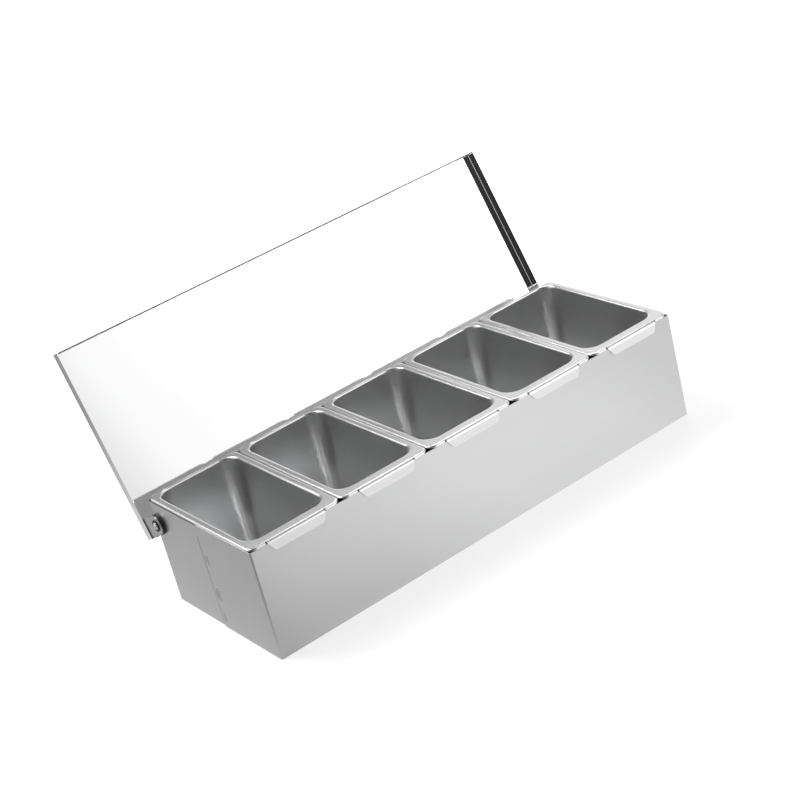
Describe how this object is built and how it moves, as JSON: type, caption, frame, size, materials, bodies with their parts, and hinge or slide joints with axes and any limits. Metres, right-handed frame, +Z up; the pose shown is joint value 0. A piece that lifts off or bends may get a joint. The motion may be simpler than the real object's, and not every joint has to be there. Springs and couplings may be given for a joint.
{
  "type": "condiment box",
  "caption": "Long sheet-steel condiment box with a row of removable drawn pans and one hinged tray lid that flips up and leans back on its own stop.",
  "frame": {"origin": "on the table under the middle of the box's footprint", "axes": "+X along the row of pans to the right, +Y from the front wall to the rear wall, +Z up; lid open at rest"},
  "size_m": [0.389, 0.2127, 0.1846],
  "materials": {
    "box_steel": "satin, fine grain along the length",
    "lid_steel": "mirror polished",
    "plate_steel": "satin",
    "rivet_steel": "bright",
    "pan_steel": "drawn, soft satin",
    "black_nylon": "matt black"
  },
  "bodies": {
    "box": {"front_sheet": "box_steel", "rear_sheet": "box_steel", "floor_tray": "box_steel", "left_friction_washer": "black_nylon", "right_friction_washer": "black_nylon", "left_outer_washer": "black_nylon", "right_outer_washer": "black_nylon", "left_backing_washer": "rivet_steel", "right_backing_washer": "rivet_steel", "left_pivot_rivet": "rivet_steel", "right_pivot_rivet": "rivet_steel"},
    "lid": {"lid_tray": "lid_steel", "left_hinge_plate": "plate_steel", "right_hinge_plate": "plate_steel"},
    "first_pan": {"pan_1": "pan_steel"},
    "second_pan": {"pan_2": "pan_steel"},
    "third_pan": {"pan_3": "pan_steel"},
    "fourth_pan": {"pan_4": "pan_steel"},
    "fifth_pan": {"pan_5": "pan_steel"}
  },
  "joints": [
    {"name": "lid_hinge", "type": "hinge", "parent": "box", "child": "lid", "pos_m": [0, 0.06145, 0.0648], "axis": [-1, 0, 0], "range_deg": [-114, 0]},
    {"name": "pan_1_lift", "type": "slide", "parent": "box", "child": "first_pan", "axis": [0, 0, 1], "range_m": [0, 0.1]},
    {"name": "pan_2_lift", "type": "slide", "parent": "box", "child": "second_pan", "axis": [0, 0, 1], "range_m": [0, 0.1]},
    {"name": "pan_3_lift", "type": "slide", "parent": "box", "child": "third_pan", "axis": [0, 0, 1], "range_m": [0, 0.1]},
    {"name": "pan_4_lift", "type": "slide", "parent": "box", "child": "fourth_pan", "axis": [0, 0, 1], "range_m": [0, 0.1]},
    {"name": "pan_5_lift", "type": "slide", "parent": "box", "child": "fifth_pan", "axis": [0, 0, 1], "range_m": [0, 0.1]}
  ]
}
